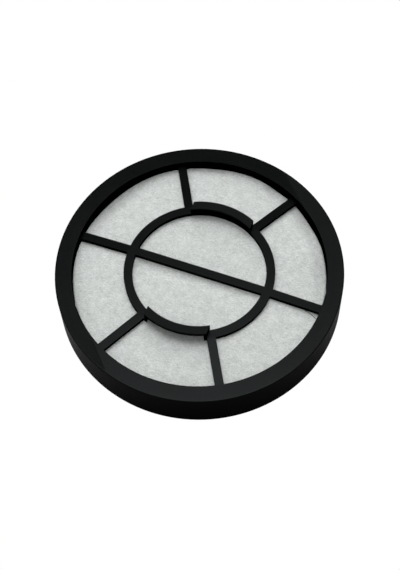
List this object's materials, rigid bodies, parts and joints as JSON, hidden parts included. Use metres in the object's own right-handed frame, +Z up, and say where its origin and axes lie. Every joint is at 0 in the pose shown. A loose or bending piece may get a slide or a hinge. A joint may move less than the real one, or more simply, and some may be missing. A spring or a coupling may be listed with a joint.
{
  "type": "vacuum cleaner filter",
  "caption": "Round flat vacuum cleaner filter: a black moulded rim with a recessed spoked grille and raised hooks on its inner ring, over a disc of white felt.",
  "frame": {"origin": "centre of the round foot, on the surface that the filter lies on", "axes": "+Z up along the axis of the rim, out of the grille side; +X along the full bar of the grille; the raised hooks lie on +Y and -Y"},
  "size_m": [0.13, 0.13, 0.0224],
  "materials": {
    "black_plastic": "fine satin moulding",
    "white_felt": "soft non-woven fibres"
  },
  "bodies": {
    "root": {"grille_frame": "black_plastic", "filter_felt": "white_felt"}
  },
  "joints": []
}
